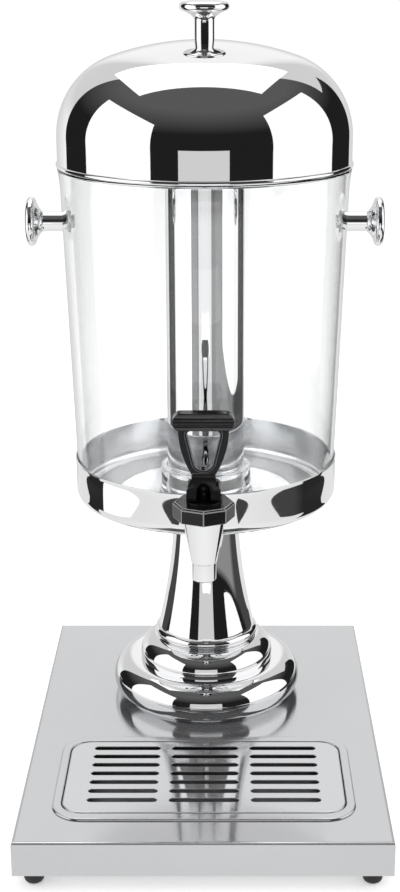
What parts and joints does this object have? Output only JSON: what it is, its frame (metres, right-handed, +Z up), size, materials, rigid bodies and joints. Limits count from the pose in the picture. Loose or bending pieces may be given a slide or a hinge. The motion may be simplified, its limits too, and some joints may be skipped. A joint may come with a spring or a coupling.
{
  "type": "juice dispenser",
  "caption": "Countertop juice dispenser: clear tapered vessel with steel dome lid, ice tube and lever tap on a spun steel pedestal, over a slotted drip tray in a folded base.",
  "frame": {"origin": "on the table under the middle of the base", "axes": "+Z up, front with the tap and the drip tray towards -Y, +X to the right seen from the front"},
  "size_m": [0.2674, 0.36, 0.5771],
  "materials": {
    "satin_steel": "satin stainless sheet",
    "bright_steel": "mirror-polished stainless steel",
    "plain_steel": "plain stainless steel",
    "clear_plastic": "clear polycarbonate, glossy",
    "black_plastic": "glossy black moulding",
    "black_rubber": "matt black rubber",
    "pale_silicone": "pale silicone"
  },
  "bodies": {
    "base": {"base_housing": "satin_steel", "foot_front_left": "black_rubber", "foot_front_right": "black_rubber", "foot_rear_left": "black_rubber", "foot_rear_right": "black_rubber", "foot_studs": "plain_steel", "foot_nuts": "plain_steel", "pedestal_bulb": "bright_steel", "pedestal_ring": "bright_steel", "pedestal_column": "bright_steel", "column_plug": "plain_steel", "base_stiffener": "plain_steel", "tie_rod": "plain_steel", "tie_rod_nuts": "plain_steel", "tie_rod_washers": "plain_steel"},
    "tray": {"drip_tray": "satin_steel"},
    "grille": {"drip_grille": "bright_steel"},
    "vessel": {"container_bowl": "bright_steel", "bowl_spigot": "plain_steel", "container_pad": "pale_silicone", "container": "clear_plastic", "handle_knob_left": "bright_steel", "handle_knob_right": "bright_steel", "handle_screws": "plain_steel", "handle_washers": "pale_silicone", "tap_body": "bright_steel", "tap_bonnet": "black_plastic", "tap_gasket_outer": "black_rubber", "tap_gasket_inner": "black_rubber", "tap_washer": "plain_steel", "tap_lock_nut": "black_plastic", "tap_spring": "plain_steel"},
    "ice_tube": {"ice_tube": "bright_steel", "ice_tube_seal": "pale_silicone"},
    "lid": {"lid_dome": "bright_steel", "lid_ring": "plain_steel", "lid_knob": "bright_steel", "lid_knob_screw": "plain_steel", "lid_knob_washer": "pale_silicone"},
    "stem": {"tap_stem": "black_plastic", "tap_seat_cup": "pale_silicone", "tap_lever_pin": "bright_steel"},
    "lever": {"tap_lever": "black_plastic"}
  },
  "joints": [
    {"name": "tray_lift", "type": "slide", "parent": "base", "child": "tray", "axis": [0, 0, 1], "range_m": [0, 0.06]},
    {"name": "grille_lift", "type": "slide", "parent": "tray", "child": "grille", "axis": [0, 0, 1], "range_m": [0, 0.04]},
    {"name": "vessel_lift", "type": "slide", "parent": "base", "child": "vessel", "axis": [0, 0, 1], "range_m": [0, 0.05]},
    {"name": "ice_tube_lift", "type": "slide", "parent": "vessel", "child": "ice_tube", "axis": [0, 0, 1], "range_m": [0, 0.06]},
    {"name": "lid_lift", "type": "slide", "parent": "vessel", "child": "lid", "axis": [0, 0, 1], "range_m": [0, 0.15]},
    {"name": "tap_stem_lift", "type": "slide", "parent": "vessel", "child": "stem", "axis": [0, 0, 1], "range_m": [0, 0.005], "deforming": ["tap_spring"]},
    {"name": "tap_lever_tilt", "type": "hinge", "parent": "stem", "child": "lever", "pos_m": [0, -0.0703, 0.2537], "axis": [1, 0, 0], "range_deg": [0, 55], "stiffness_Nm_per_rad": 0.03, "springref_deg": -28.65}
  ],
  "couplings": [
    {"joint": "tap_stem_lift", "follows": "tap_lever_tilt", "m_per_rad": 0.005208}
  ]
}
